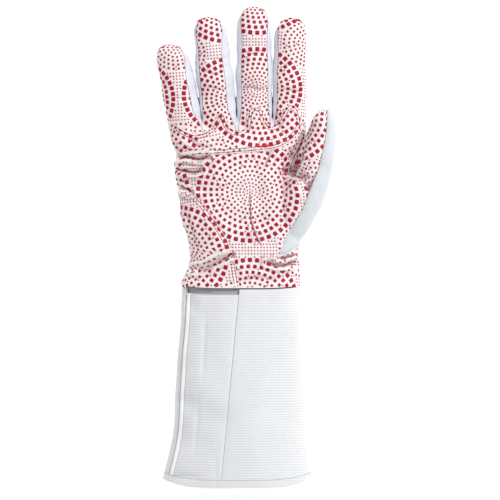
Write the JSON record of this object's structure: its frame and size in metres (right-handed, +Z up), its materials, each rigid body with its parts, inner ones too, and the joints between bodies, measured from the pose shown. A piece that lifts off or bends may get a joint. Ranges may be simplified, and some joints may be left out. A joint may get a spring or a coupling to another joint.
{
  "type": "fencing glove",
  "caption": "Right-hand fencing glove with a long flared cuff, grip dots over the palm and fingers, and a white padded back.",
  "frame": {"origin": "on the floor under the middle of the glove, which lies on its back", "axes": "+Y from the cuff to the fingertips, +X to the thumb side, +Z up out of the palm"},
  "size_m": [0.1358, 0.3608, 0.0552],
  "materials": {
    "printed_leather": "soft white leather under a close print of raised red grip dots",
    "padded_cloth": "white stretch cloth over thin padding",
    "white_leather": "smooth white leather with a faint lavender cast",
    "ribbed_cloth": "white cloth with fine ribs across the cuff",
    "binding_tape": "plain white edging",
    "elastic_band": "grey elastic webbing"
  },
  "bodies": {
    "root": {"palm_front": "printed_leather", "hand_back": "padded_cloth", "thumb_front": "printed_leather", "thumb_back": "padded_cloth", "fourchette_little_ring": "white_leather", "fourchette_ring_middle": "white_leather", "fourchette_middle_index": "white_leather", "yoke_patch": "printed_leather", "heel_patch": "printed_leather", "wrist_band": "elastic_band", "cuff_front_inner": "ribbed_cloth", "cuff_front_outer": "ribbed_cloth", "cuff_back": "ribbed_cloth", "cuff_hem": "binding_tape", "slit_binding": "binding_tape", "slit_underlap": "padded_cloth"}
  },
  "joints": []
}
